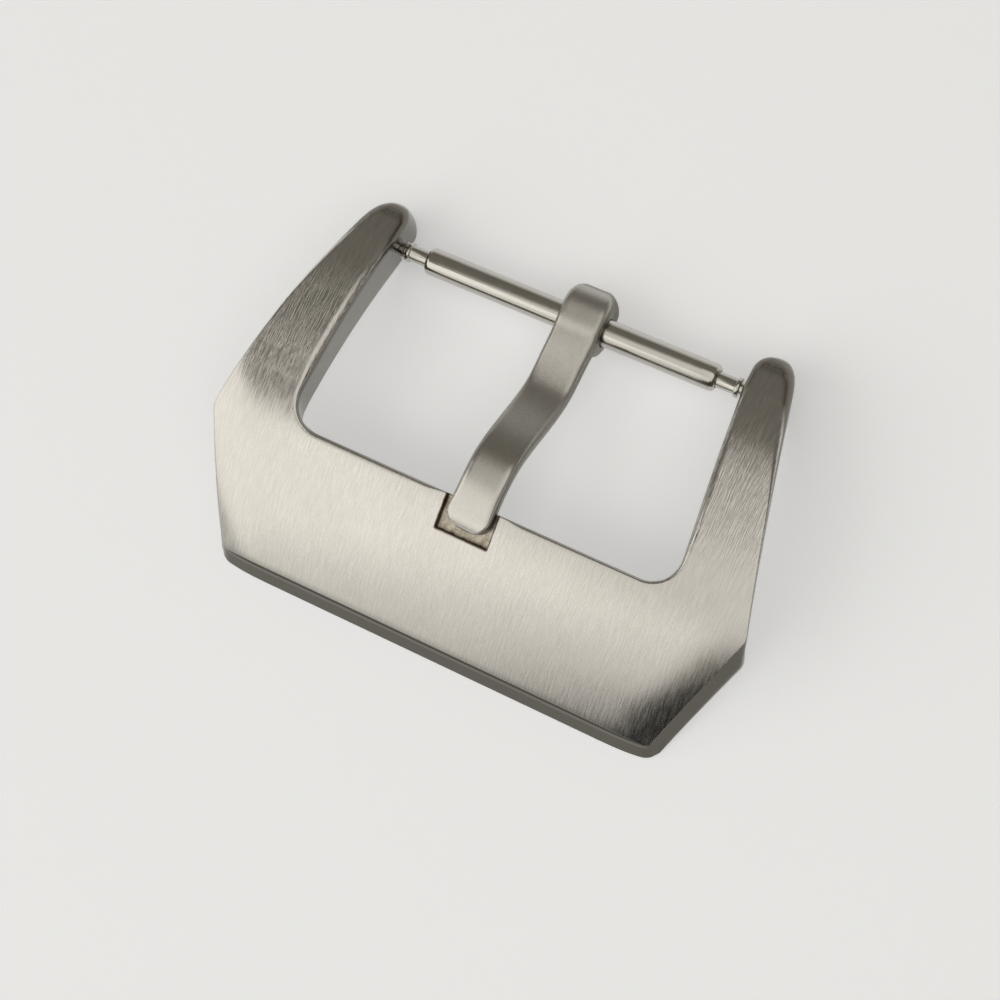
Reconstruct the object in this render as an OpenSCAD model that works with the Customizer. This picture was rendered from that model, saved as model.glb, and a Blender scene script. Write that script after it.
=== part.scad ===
// Strap buckle with a tongue on a sprung bar. All sizes are in millimetres.
// The origin is the middle of the buckle's outline, on the plane that it rests on.
// X runs along the bar, -Y is the wide front plate, +Y the two lugs, +Z the outside.

/* [Frame outline] */
// Clear width between the two lugs, which is the width of the strap end
strap_gap = 24; // [18:0.5:26]
// Length from the front wall's foot to the round ends of the lugs
frame_len = 26.0; // [24:0.1:32]
// Width of the front wall along its top edge
front_w = 30.5; // [26:0.1:33]
// Width across the two outer corners
frame_w = 37.1; // [34:0.1:42]
// Length along Y of each cut front corner
corner_cut = 8.4; // [5:0.1:10]
// Width of each lug along the bar
lug_w = 3.2; // [2.8:0.1:4]
// Distance from the bar to the front edge of the window
window_len = 13.1; // [11:0.1:14]
// Width of the window along its front edge
window_w = 26.7; // [25:0.1:29]
// Fillet of the window's two front corners
window_fillet = 2; // [0.8:0.1:3]
// Rounding of the two outer corners, seen from above
outer_round = 1.0; // [0.4:0.1:2]

/* [Frame side view] */
// Radius of the arched top face
arch_r = 26.2; // [24:0.1:40]
// Height of the arch's crest over the resting plane
arch_top = 5.9; // [5.4:0.1:7]
// Distance from the bar to the arch's crest
arch_crest = 8.2; // [7:0.1:10]
// Radius of the hollow underside
under_r = 27; // [25:0.5:40]
// Height of the hollow underside in its middle
under_rise = 2.3; // [1.5:0.1:2.6]
// Distance that the front wall's foot stands ahead of its top edge
front_lean = 1.05; // [0.4:0.05:1.4]
// Distance that the cut corners' lower edge stands outside their top edge
corner_lean = 0.65; // [0.3:0.05:1.1]
// Height of the leaning band on the cut corners
corner_band = 1.9; // [1:0.1:2.4]
// Distance that the arms' outer walls draw in over one unit of depth
arm_draft = 0.11; // [0:0.01:0.15]
// Radius of the lug ends about the bar, in the side view
lug_r = 2.6; // [2.1:0.1:2.8]
// Height of the bar's axis over the resting plane
bar_z = 2.25; // [2:0.05:2.4]

/* [Tongue seat] */
// Width of the seat that is sunk into the front plate
seat_w = 3.6; // [3.2:0.1:4.4]
// Length of the seat from the window's edge
seat_len = 2.25; // [1.6:0.05:3]
// Depth of the seat
seat_depth = 0.35; // [0.2:0.05:0.6]

/* [Tongue] */
// Width of the tongue at its eye
tongue_w = 3.0; // [2.4:0.1:3.6]
// Width of the tongue at its tip
tip_w = 2.9; // [2.2:0.1:3]
// Thickness of the tongue
tongue_t = 1.15; // [0.9:0.05:1.4]
// Wall of the eye around the bar
eye_wall = 0.8; // [0.6:0.05:0.9]
// Distance from the bar to the tongue's tip
tongue_len = 14.8; // [14.2:0.1:15]
// How far the tongue's heel reaches behind the eye
heel = 0.65; // [0:0.05:1]
// Height of the tongue's middle line over the bar's axis where it leaves the eye
leave_z = 1.05; // [0.8:0.05:1.1]
// Height of the tongue's middle line over the bar's axis where it is lowest
low_z = 0.5; // [0:0.05:0.8]
// Distance from the bar to the tongue's lowest place
low_at = 4.2; // [3.6:0.1:5]
// Distance from the bar to where the tongue has risen to its seat's height
rise_end = 10.8; // [9:0.1:11.4]
// Place of the tongue along the bar, from the middle
tongue_x = 1.0; // [0:0.1:1.2]
// Angle by which the play on the bar lets the tongue lie askew
tongue_yaw = 3.4; // [0:0.2:3.6]
// Rounding of the heel's two corners, seen from above
heel_round = 0.7; // [0.2:0.1:1]
// Rounding of the tongue's tip, seen from above
tip_round = 1.0; // [0.4:0.1:1.2]
// Gap between the tongue and the floor of its seat
seat_gap = 0.03; // [0.02:0.01:0.1]

/* [Spring bar] */
// Outer diameter of the bar's tube
tube_d = 1.8; // [1.6:0.05:2]
// Length of the tube
tube_len = 20.3; // [14:0.1:22]
// Wall of the tube
tube_wall = 0.25; // [0.2:0.01:0.3]
// Length of the rolled-in lip at each end of the tube
lip_len = 0.45; // [0.3:0.05:0.6]
// Diameter of the tips' shafts
shaft_d = 1.0; // [0.8:0.05:1.1]
// Diameter of the tips' pivots, which sit in the lugs
pivot_d = 0.9; // [0.7:0.05:1]
// Length of the pivot inside its lug
pivot_in = 1.1; // [0.7:0.05:1.4]
// Diameter of the flange that a fingernail or a tool pulls on
flange_d = 1.4; // [1.2:0.05:1.6]
// Thickness of the flange
flange_t = 0.3; // [0.2:0.05:0.4]
// Gap between the flange and its lug
flange_gap = 0.35; // [0.1:0.05:0.6]
// Length of the tips' hidden pistons
piston_len = 3; // [2:0.1:4]
// Running clearance between round faces, on the radius
run = 0.05; // [0.02:0.01:0.08]

/* [Coil spring] */
// Diameter of the spring's wire
wire_d = 0.22; // [0.16:0.01:0.24]
// Number of the spring's turns
spring_turns = 15; // [10:1:18]

/* [Hidden] */
$fn = 64;
// Overlap of cutting bodies past the faces that they cut
past = 1;
// Segments in a rounded corner of an outline
corner_steps = 6;
// Gap along the bar between pieces that only touch
touch = 0.02;
// Depth of the lug holes beyond the pivots' ends
hole_past = 0.5;
// Places along Y
foot_y = -frame_len / 2;
front_y = foot_y + front_lean;
bar_y = frame_len / 2 - lug_r;
outer_y = front_y + corner_cut;
window_y = bar_y - window_len;
lug_tip_y = frame_len / 2;
// Rounding of the lug ends and of the front wall's corners, seen from above
lug_end_round = 0.4 * lug_w;
front_round = 0.7;
// The arch: its centre, and its height at a place along Y
arch_y = bar_y - arch_crest;
arch_z = arch_top - arch_r;
function arch_height(y) = arch_z + sqrt(arch_r * arch_r - (y - arch_y) * (y - arch_y));
// The hollow underside spans from the front wall's foot to just before the bar
under_y = foot_y / 2 + bar_y / 2;
// The seat's floor is level with the chord of the arch between its two ends
seat_back = window_y;
seat_front = window_y - seat_len;
seat_slope = atan((arch_height(seat_back) - arch_height(seat_front)) / seat_len);
seat_z = arch_height(seat_back) - seat_depth;
// The tube and its tips along X
bore_d = tube_d - 2 * tube_wall;
lip_d = shaft_d + 2 * run;
piston_end = tube_len / 2 - lip_len - touch;
piston_start = piston_end - piston_len;
flange_end = strap_gap / 2 - flange_gap;
pivot_end = strap_gap / 2 + pivot_in;
spring_half = piston_start - touch;
spring_r = bore_d / 2 - 2 * run - wire_d / 2;

// The points of a corner at b between a and c, rounded with radius r
function unit(v) = v / norm(v);
function rounded(a, b, c, r) =
    let (u = unit(a - b), v = unit(c - b), half = acos(u * v) / 2)
    let (centre = b + unit(u + v) * r / sin(half))
    let (start = b + u * r / tan(half) - centre, turn = 180 - 2 * half)
    let (side = sign(cross(start, -u)))
    [for (i = [0 : corner_steps])
        let (t = side * turn * i / corner_steps)
        centre + [start.x * cos(t) - start.y * sin(t), start.x * sin(t) + start.y * cos(t)]];

// An outline whose corners are [x, y, radius]; a radius of 0 leaves the corner sharp
function flat_point(p) = [p.x, p.y];
function round_outline(pts) =
    let (n = len(pts))
    [for (i = [0 : n - 1])
        let (a = flat_point(pts[(i + n - 1) % n]), b = flat_point(pts[i]), c = flat_point(pts[(i + 1) % n]))
        for (p = pts[i].z > 0 ? rounded(a, b, c, pts[i].z) : [b]) p];

// The frame seen from above, as wide as its foot at the front wall and the cut corners.
// The half to the right of the middle is listed, and its points are mirrored for the left
module frame_outline() {
    cut_dir = unit([frame_w / 2 - front_w / 2, corner_cut]);
    out = corner_lean * [cut_dir.y, -cut_dir.x];
    foot_front = [front_w / 2, front_y] + out - cut_dir * (front_lean / cut_dir.y);
    arm_dir = unit([frame_w / 2 - strap_gap / 2 - lug_w, outer_y - bar_y]);
    slip = corner_lean / (arm_dir * [cut_dir.y, -cut_dir.x]);
    foot_outer = [frame_w / 2, outer_y] + slip * arm_dir;
    half = round_outline([
        [0, window_y, 0],
        [0, foot_y, 0],
        [foot_front.x, foot_y, front_round],
        [foot_outer.x, foot_outer.y, outer_round],
        [strap_gap / 2 + lug_w, bar_y, 0],
        [strap_gap / 2 + lug_w, lug_tip_y, lug_end_round],
        [strap_gap / 2, lug_tip_y, lug_end_round],
        [strap_gap / 2, bar_y, 0],
        [window_w / 2, window_y, window_fillet]]);
    right = [for (i = [2 : len(half) - 1]) half[i]];
    left = [for (i = [len(right) - 1 : -1 : 0]) [-right[i].x, right[i].y]];
    polygon(concat(right, left));
}

// The space above the leaning band of one cut corner
module corner_cutter() {
    run_xy = norm([frame_w / 2 - front_w / 2, corner_cut]);
    rise = arch_height(outer_y) - arch_height(front_y);
    heading = atan2(frame_w / 2 - front_w / 2, corner_cut);
    translate([front_w / 2, front_y, arch_height(front_y)])
        rotate([0, 0, -heading])
            rotate([atan(rise / run_xy), 0, 0])
                rotate([0, -atan(corner_lean / corner_band), 0])
                    translate([0, -run_xy, -run_xy])
                        cube([run_xy, 3 * run_xy, 3 * run_xy]);
}

// The space outside the drawn-in outer wall of one arm
module arm_cutter() {
    inset = frame_w / 2 - strap_gap / 2 - lug_w;
    translate([frame_w / 2, outer_y, arch_height(outer_y)])
        rotate([0, 0, atan(inset / (bar_y - outer_y))])
            rotate([0, atan(arm_draft), 0])
                translate([0, -frame_len, -frame_len])
                    cube([frame_w, 3 * frame_len, 2 * frame_len]);
}

// The space ahead of the leaning front wall
module front_cutter() {
    translate([-frame_w, front_y, arch_height(front_y)])
        rotate([-atan(front_lean / arch_height(front_y)), 0, 0])
            translate([0, -frame_len, -frame_len])
                cube([2 * frame_w, frame_len, 2 * frame_len]);
}

// A shaft, bore or disc along X from x0 to x1, at the bar's height
module along_bar(r, x0, x1) {
    translate([x0, bar_y, bar_z]) rotate([0, 90, 0]) cylinder(r = r, h = x1 - x0);
}

// The broad front plate and its two arms, cut from one arched blank
module frame() {
    color([0.74, 0.72, 0.68]) difference() {
        intersection() {
            linear_extrude(arch_top + past) frame_outline();
            translate([-frame_w, arch_y, arch_z]) rotate([0, 90, 0])
                cylinder(r = arch_r, h = 2 * frame_w, $fn = 180);
            union() {
                translate([-frame_w, foot_y - past, -past])
                    cube([2 * frame_w, bar_y - foot_y + past, arch_top + 2 * past]);
                along_bar(lug_r, -frame_w, frame_w);
            }
        }
        translate([-frame_w, under_y, under_rise - under_r]) rotate([0, 90, 0])
            cylinder(r = under_r, h = 2 * frame_w, $fn = 180);
        front_cutter();
        corner_cutter();
        mirror([1, 0, 0]) corner_cutter();
        arm_cutter();
        mirror([1, 0, 0]) arm_cutter();
        translate([-seat_w / 2, seat_back, seat_z]) rotate([seat_slope, 0, 0])
            translate([0, -seat_len, 0]) cube([seat_w, seat_len + past, seat_depth + past]);
        along_bar(pivot_d / 2 + run, -pivot_end - hole_past, -strap_gap / 2 + past);
        along_bar(pivot_d / 2 + run, strap_gap / 2 - past, pivot_end + hole_past);
    }
}

// The tongue's middle line: height over the resting plane at distance d from the bar
function ease(t) = let (u = max(0, min(1, t))) u * u * (3 - 2 * u);
level_lead = 1.4;
seat_level = seat_z + (tongue_t / 2 + seat_gap) / cos(seat_slope);
// Over its last part, the seat's end, the tongue lies parallel to the seat's floor
level_end = window_len - level_lead;
seated_mid = seat_level + tan(seat_slope) * (window_len - level_end);
function tongue_mid(d) =
    bar_z + leave_z - (leave_z - low_z) * ease(d / low_at)
    + (seated_mid - bar_z - low_z) * ease((d - low_at) / (rise_end - low_at))
    - tan(seat_slope) * max(0, d - level_end);
small = 0.05;
function tongue_tilt(d) = atan((tongue_mid(d + small) - tongue_mid(d - small)) / (2 * small));
tongue_steps = 36;

// A point of the strip's side view, at half a thickness over or under the middle line
function strip_point(d, side) =
    [-d + side * tongue_t / 2 * sin(tongue_tilt(d)), tongue_mid(d) + side * tongue_t / 2 * cos(tongue_tilt(d))];

// Side view of the eye, whose back is drawn out into a heel
module eye_outline(r) {
    circle(r);
    translate([heel, 0]) circle(r);
    translate([0, -r]) square([heel, 2 * r]);
}

module tongue() {
    eye_r = tube_d / 2 + run + eye_wall;
    strip_len = tongue_len / cos(tongue_yaw);
    stations = [for (i = [0 : tongue_steps]) strip_len * i / tongue_steps];
    upper = [for (d = stations) strip_point(d, 1)];
    lower = [for (i = [tongue_steps : -1 : 0]) strip_point(stations[i], -1)];
    strip_plan = round_outline([
        [-tongue_w / 2, eye_r, 0],
        [-tip_w / 2, -strip_len, tip_round],
        [tip_w / 2, -strip_len, tip_round],
        [tongue_w / 2, eye_r, 0]]);
    eye_plan = round_outline([
        [-tongue_w / 2, -eye_r - past, 0],
        [tongue_w / 2, -eye_r - past, 0],
        [tongue_w / 2, eye_r + heel, heel_round],
        [-tongue_w / 2, eye_r + heel, heel_round]]);
    color([0.66, 0.64, 0.6]) difference() {
        union() {
            translate([tongue_x, bar_y, 0]) rotate([0, 0, -tongue_yaw]) intersection() {
                translate([-tongue_w, 0, 0]) rotate([90, 0, 90])
                    linear_extrude(2 * tongue_w) polygon(concat(upper, lower));
                linear_extrude(2 * arch_top) polygon(strip_plan);
            }
            intersection() {
                translate([tongue_x - tongue_w / 2, bar_y, bar_z]) rotate([90, 0, 90])
                    linear_extrude(tongue_w) eye_outline(eye_r);
                linear_extrude(2 * arch_top) translate([tongue_x, bar_y]) polygon(eye_plan);
            }
        }
        along_bar(tube_d / 2 + run, tongue_x - tongue_w, tongue_x + tongue_w);
    }
}

// A turned piece along X, from a profile of [x, radius] points
module turned(profile) {
    translate([0, bar_y, bar_z]) rotate([0, 90, 0])
        rotate_extrude() polygon([for (p = profile) [p.y, p.x]]);
}

// The bar's tube, with its ends rolled in to hold the tips
lip_round = 0.6;
module spring_bar_tube() {
    end = tube_len / 2;
    edge = lip_round * tube_wall;
    color([0.8, 0.78, 0.74]) turned([
        [-end, lip_d / 2],
        [-end, tube_d / 2 - edge],
        [-end + edge, tube_d / 2],
        [end - edge, tube_d / 2],
        [end, tube_d / 2 - edge],
        [end, lip_d / 2],
        [end - lip_len, lip_d / 2],
        [end - lip_len, bore_d / 2],
        [-end + lip_len, bore_d / 2],
        [-end + lip_len, lip_d / 2]]);
}

// One tip: a piston in the tube, a shaft through its lip, a flange and a pivot
pivot_edge = 0.1;
module tip() {
    color([0.76, 0.74, 0.7]) turned([
        [piston_start, 0],
        [piston_start, bore_d / 2 - run],
        [piston_end, bore_d / 2 - run],
        [piston_end, shaft_d / 2],
        [flange_end - flange_t, shaft_d / 2],
        [flange_end - flange_t, flange_d / 2],
        [flange_end, flange_d / 2],
        [flange_end, pivot_d / 2],
        [pivot_end - pivot_edge, pivot_d / 2],
        [pivot_end, pivot_d / 2 - pivot_edge],
        [pivot_end, 0]]);
}

module spring_bar_tip_left() {
    mirror([1, 0, 0]) tip();
}

module spring_bar_tip_right() {
    tip();
}

// The coil spring: a six-sided wire carried along a helix, eight rings a turn
turn_rings = 8;
spring_rings = turn_rings * spring_turns;
wire_sides = 6;
function coil_point(i, a) =
    let (turn = 360 * i / turn_rings, r = spring_r + wire_d / 2 * cos(a))
    let (x = (i / spring_rings - 0.5) * (2 * spring_half - wire_d) + wire_d / 2 * sin(a))
    [x, bar_y + r * cos(turn), bar_z + r * sin(turn)];
// The least gap between neighbouring turns, measured along the axis on the rings' points
spring_gap = coil_point(turn_rings, 270).x - coil_point(0, 90).x;

module spring_bar_spring() {
    echo(spring_gap = spring_gap);
    points = [for (i = [0 : spring_rings]) for (k = [0 : wire_sides - 1]) coil_point(i, 360 * k / wire_sides)];
    last = spring_rings * wire_sides;
    sides = [for (i = [0 : spring_rings - 1]) for (k = [0 : wire_sides - 1])
        let (a = i * wire_sides + k, b = i * wire_sides + (k + 1) % wire_sides)
        for (face = [[a, b, b + wire_sides], [a, b + wire_sides, a + wire_sides]]) face];
    first_cap = [for (k = [1 : wire_sides - 2]) [0, k + 1, k]];
    last_cap = [for (k = [1 : wire_sides - 2]) [last, last + k, last + k + 1]];
    color([0.7, 0.7, 0.7]) polyhedron(points, concat(sides, first_cap, last_cap));
}

frame();
tongue();
spring_bar_tube();
spring_bar_tip_left();
spring_bar_tip_right();
spring_bar_spring();
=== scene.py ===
import math

import bmesh
import bpy
import mathutils
import numpy as np
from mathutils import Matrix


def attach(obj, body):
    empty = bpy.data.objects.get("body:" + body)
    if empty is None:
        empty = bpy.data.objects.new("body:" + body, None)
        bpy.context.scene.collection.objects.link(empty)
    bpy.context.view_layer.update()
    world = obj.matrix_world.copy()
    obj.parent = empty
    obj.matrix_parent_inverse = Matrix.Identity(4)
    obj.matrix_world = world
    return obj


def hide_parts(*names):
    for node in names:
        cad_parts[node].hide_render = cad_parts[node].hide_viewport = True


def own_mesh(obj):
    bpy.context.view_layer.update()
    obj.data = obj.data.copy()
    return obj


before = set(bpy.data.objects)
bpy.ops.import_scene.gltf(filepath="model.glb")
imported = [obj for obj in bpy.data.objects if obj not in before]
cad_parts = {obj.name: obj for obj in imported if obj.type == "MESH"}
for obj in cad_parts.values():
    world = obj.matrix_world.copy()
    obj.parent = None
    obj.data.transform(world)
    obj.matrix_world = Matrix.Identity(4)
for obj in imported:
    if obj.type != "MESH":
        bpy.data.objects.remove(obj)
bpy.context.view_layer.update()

# The frame: one broad arched plate with a cut corner at each side and two arms,
# cast in stainless steel, dressed flat on a belt along its length, and then left
# with the belt's grain. Each arm ends in a lug with a blind hole for the bar.
MM = 0.001
BAR_Y, BAR_Z = 10.4, 2.25          # the bar's axis; all sizes here are in millimetres
WINDOW_Y, WINDOW_HALF, FILLET = -2.7, 13.35, 2.0
FRONT_Y, FRONT_HALF = -11.95, 15.25
OUTER_Y, OUTER_HALF = -3.55, 18.55
LUG_IN, LUG_OUT, LUG_R, LUG_ROUND, UNDER_ROUND = 12.0, 15.2, 2.6, 1.28, 2.3
ARCH_Y, ARCH_R, ARCH_Z = 2.2, 26.2, -20.3
UNDER_Y, UNDER_R, UNDER_Z = -1.3, 27.0, -24.7
SEAT_HALF, SEAT_LEN, SEAT_DEPTH = 1.8, 2.25, 0.35
ROLL_DEPTH, ROLL_WIDTH = 0.30, 3.4
FRONT_LEAN, CORNER_LEAN, BAND, ARM_DRAFT, IN_DRAFT, FOOT_FILLET = 1.05, 0.64, 1.9, 0.11, 0.12, 0.5
EDGE_IN, EDGE_OUT, EDGE_FRONT, EDGE_LUG, EDGE_FOOT = 0.50, 0.24, 0.12, 0.75, 0.3
BESIDE, BEND_R = 7.5, 0.3          # where the plan leaves the straight front; the bend from arm to lug
SLIP = 0.02                        # half the width in which the seat's walls drop
SEAT_NEAR = ARCH_Z + math.sqrt(ARCH_R ** 2 - (WINDOW_Y - ARCH_Y) ** 2)
SEAT_FAR = ARCH_Z + math.sqrt(ARCH_R ** 2 - (WINDOW_Y - SEAT_LEN - ARCH_Y) ** 2)
SEAT_FLOOR, FLOOR_SLOPE = SEAT_NEAR - SEAT_DEPTH, (SEAT_NEAR - SEAT_FAR) / SEAT_LEN
FRONT_TOP = ARCH_Z + math.sqrt(ARCH_R ** 2 - (FRONT_Y - ARCH_Y) ** 2)


def unit(v):
    """Vectors along the last axis, each divided by its own length."""
    return v / np.maximum(np.linalg.norm(v, axis=-1, keepdims=True), 1e-12)


def smooth_min(a, b, k):
    """The smaller of two arrays, with the crease between them rounded over k."""
    h = np.clip(0.5 + 0.5 * (b - a) / k, 0, 1)
    return b + (a - b) * h - k * h * (1 - h)


def ease(t):
    """The cubic 3t2 - 2t3, which goes from 0 to 1 with level ends."""
    t = np.clip(t, 0, 1)
    return t * t * (3 - 2 * t)


ARC_POINTS = 25


def along(points, rounds, t):
    """Points of a polyline whose corners are cut to arcs. The parameter is a whole number in the middle of
    each corner, and goes with the length between two of them. An arc's centre lies on the corner's bisector e,
    r / sin(half the angle) from the corner, and f is at right angles to e."""
    out, at = [np.array(points[0], float)[None]], [np.zeros(1)]
    for k, (a, b, c, r) in enumerate(zip(points[:-2], points[1:-1], points[2:], rounds)):
        a, b, c = np.array(a, float), np.array(b, float), np.array(c, float)
        u, v = unit(a - b), unit(c - b)
        half = 0.5 * math.acos(float(np.clip(u @ v, -1, 1)))
        e, f = unit(u + v), unit(u - v)
        turn = np.linspace(math.pi / 2 - half, half - math.pi / 2, ARC_POINTS)[:, None]
        out.append(b + e * r / math.sin(half) - e * r * np.cos(turn) + f * r * np.sin(turn))
        at.append(np.full(ARC_POINTS, np.nan))
        at[-1][ARC_POINTS // 2] = k + 1
    out.append(np.array(points[-1], float)[None])
    at.append(np.full(1, len(points) - 1.0))
    line, at = np.vstack(out), np.concatenate(at)
    length = np.r_[0, np.cumsum(np.linalg.norm(np.diff(line, axis=0), axis=1))]
    known = ~np.isnan(at)
    s = np.interp(t, at[known], length[known])
    return np.stack([np.interp(s, length, line[:, k]) for k in (0, 1)], 1)


def shifted(points, offsets):
    """The corners of a polyline whose sides are each moved outwards, to the right of the way along it."""
    points = np.array(points, float)
    d = unit(np.diff(points, axis=0))
    n = np.stack([d[:, 1], -d[:, 0]], 1)
    moved = points[:-1] + n * np.array(offsets)[:, None]
    out = [moved[0]]
    for k in range(len(d) - 1):
        step = np.linalg.solve(np.stack([d[k], -d[k + 1]], 1), moved[k + 1] - moved[k])
        out.append(moved[k] + d[k] * step[0])
    out.append(points[-1] + n[-1] * offsets[-1])
    return out


def top_height(x, y):
    """The arched top: a cylinder about X, smoothly cut by the lug's round end, sunk a little towards the
    cut corners, and sunk to a level floor in the tongue's seat."""
    arch = ARCH_Z + np.sqrt(ARCH_R ** 2 - (y - ARCH_Y) ** 2)
    lug = BAR_Z + np.sqrt(np.maximum(LUG_R ** 2 - np.maximum(y - BAR_Y, 0) ** 2, 0)) + np.maximum(BAR_Y - y, 0)
    past_bar = np.clip(y - BAR_Y - 0.6, 0.02, 1)
    before_tip = np.clip((BAR_Y + LUG_R - y) / 0.4, 0.02, 1)
    z = smooth_min(arch, lug, 0.6 * past_bar * before_tip)
    cut = unit(np.array([OUTER_HALF - FRONT_HALF, OUTER_Y - FRONT_Y]))
    off = cut[1] * (FRONT_HALF - np.abs(x)) - cut[0] * (FRONT_Y - y)
    z = z - ROLL_DEPTH * np.clip(1 - np.maximum(off, 0) / ROLL_WIDTH, 0, 1) ** 3
    floor = SEAT_FLOOR + (y - WINDOW_Y) * FLOOR_SLOPE
    inside = (np.abs(x) < SEAT_HALF) & (y > WINDOW_Y - SEAT_LEN)
    return np.where(inside, np.minimum(z, floor), z)


def under_height(y):
    """The hollow underside: a cylinder about X, never lower than the resting plane, and past the bar the
    lower half of the lug's round end."""
    hollow = UNDER_Z + np.sqrt(np.maximum(UNDER_R ** 2 - (y - UNDER_Y) ** 2, 0))
    lug = BAR_Z - np.sqrt(np.maximum(LUG_R ** 2 - np.maximum(y - BAR_Y, 0) ** 2, 0))
    return np.maximum(-smooth_min(-hollow, 0 * hollow, 0.12), np.where(y > BAR_Y, lug, 0))


def corner_arc(a, b, c, r, n):
    """n points of an arc of radius r that rounds the corner b between a and c, for whole rows of corners at
    once: the centre is on the bisector e, and the points go from the side of a to the side of c."""
    u, v = unit(a - b), unit(c - b)
    half = 0.5 * np.arccos(np.clip((u * v).sum(-1), -0.9999, 0.9999))
    e, f = unit(u + v), unit(u - v)
    t = np.linspace(1, -1, n)[None, :] * (math.pi / 2 - half)[:, None]
    centre = b + e * (r / np.sin(half))[:, None]
    return centre[:, None] + r[:, None, None] * (
        -e[:, None] * np.cos(t)[..., None] + f[:, None] * np.sin(t)[..., None])


def quads(rows, cols, close_rows, close_cols, start=0):
    """The four-sided faces of a grid of rows times cols points, joined end to end where asked."""
    i = np.arange(rows if close_rows else rows - 1)[:, None]
    j = np.arange(cols if close_cols else cols - 1)[None]
    i2, j2 = (i + 1) % rows, (j + 1) % cols
    return start + np.stack([i * cols + j, i * cols + j2, i2 * cols + j2, i2 * cols + j], -1).reshape(-1, 4)


def make_piece(name, co, faces, grain=None, crease=35.0, side=None):
    """A mesh object from points in millimetres and rows of face corners, with doubles merged and faces turned
    outwards. grain is an optional (corner, 2) array for the UV map that the brushing follows, and side an
    optional value for each point, 1 on steep walls, kept as a second UV map."""
    mesh = bpy.data.meshes.new(name)
    mesh.from_pydata((np.asarray(co) * MM).tolist(), [], [list(map(int, f)) for f in faces])
    if grain is not None:
        layer = mesh.uv_layers.new(name="grain")
        layer.data.foreach_set("uv", np.asarray(grain, np.float32).ravel())
    if side is not None:
        layer = mesh.uv_layers.new(name="side")
        corners = np.concatenate([np.ravel(f) for f in faces])
        layer.data.foreach_set("uv", np.repeat(np.asarray(side, np.float32)[corners], 2))
    bm = bmesh.new()
    bm.from_mesh(mesh)
    bmesh.ops.remove_doubles(bm, verts=bm.verts, dist=2e-7)
    bmesh.ops.dissolve_degenerate(bm, edges=bm.edges, dist=1e-7)
    bmesh.ops.recalc_face_normals(bm, faces=bm.faces)
    bm.to_mesh(mesh)
    bm.free()
    mesh.polygons.foreach_set("use_smooth", np.ones(len(mesh.polygons), bool))
    mesh.set_sharp_from_angle(angle=math.radians(crease))  # edges bent by more than this stay sharp
    piece = bpy.data.objects.new(name, mesh)
    bpy.context.scene.collection.objects.link(piece)
    return piece


# Half outlines in plan, from a place beside the seat to a little past the bar, at the top edges and at the
# foot of the leaning band under the outer one.
PAST = 0.6
arm_slope = (OUTER_HALF - LUG_OUT) / (BAR_Y - OUTER_Y)
inner_line = [(BESIDE, WINDOW_Y), (WINDOW_HALF, WINDOW_Y), (LUG_IN, BAR_Y), (LUG_IN, BAR_Y + PAST)]
outer_line = [(BESIDE, FRONT_Y), (FRONT_HALF, FRONT_Y), (OUTER_HALF, OUTER_Y),
              (LUG_OUT - PAST * arm_slope, BAR_Y + PAST)]
band_line = shifted(outer_line, [FRONT_LEAN, CORNER_LEAN, -BAND * ARM_DRAFT])

# Which places of the two outlines share a row of points: (share of the rows, inner place, outer place).
KEYS = np.array([(0, 0, 0), (0.12, 0.45, 0.6), (0.22, 0.66, 0.93), (0.30, 0.76, 1.05), (0.54, 1.02, 1.86),
                 (0.62, 1.15, 2.06), (0.69, 1.28, 2.24), (0.95, 2, 3 - PAST / (BAR_Y + PAST - OUTER_Y)), (1, 3, 3)])
SIDE_ROWS, TIP_ROWS, FRONT_ROWS = 220, 44, 60
row_share = np.linspace(0, 1, SIDE_ROWS)


def evened(values, reach=7):
    """A rising run of values whose bends are evened out over a few places, with its two ends kept."""
    padded = np.pad(values, reach, mode="reflect", reflect_type="odd")
    return np.convolve(padded, np.ones(2 * reach + 1) / (2 * reach + 1), "valid")


place_in = evened(np.interp(row_share, KEYS[:, 0], KEYS[:, 1]))
place_out = evened(np.interp(row_share, KEYS[:, 0], KEYS[:, 2]))
side_in = along(inner_line, [FILLET, BEND_R], place_in)
side_foot = along(inner_line, [FOOT_FILLET, BEND_R], place_in)
side_out = along(outer_line, [0.4, 1.0], place_out)
side_band = along(band_line, [0.7, 1.0], place_out)

# The lug's end: the angle about the bar goes from its start to the tip, where the width closes in.
lug_angle = np.linspace(math.asin(PAST / LUG_R), math.pi / 2, TIP_ROWS + 1)[1:]
lug_y = BAR_Y + LUG_R * np.sin(lug_angle)
near_tip = np.clip(LUG_ROUND - (BAR_Y + LUG_R - lug_y), 0, LUG_ROUND)
inset = LUG_ROUND - np.sqrt(LUG_ROUND ** 2 - near_tip ** 2)
under_tip = np.clip(1 - (BAR_Y + LUG_R - lug_y) / UNDER_ROUND, 0, 1)
under_inset = LUG_ROUND * (1 - np.sqrt(1 - under_tip ** 2))
tip_in = np.stack([LUG_IN + inset, lug_y], 1)
tip_foot = np.stack([LUG_IN + under_inset, lug_y], 1)
tip_out = np.stack([LUG_OUT - arm_slope * (lug_y - BAR_Y) - inset, lug_y], 1)
tip_draft = BAND * ARM_DRAFT * np.minimum(1, BAR_Y + LUG_R - lug_y)
tip_band = tip_out - [1, 0] * (under_inset - inset + tip_draft)[:, None]

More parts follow.
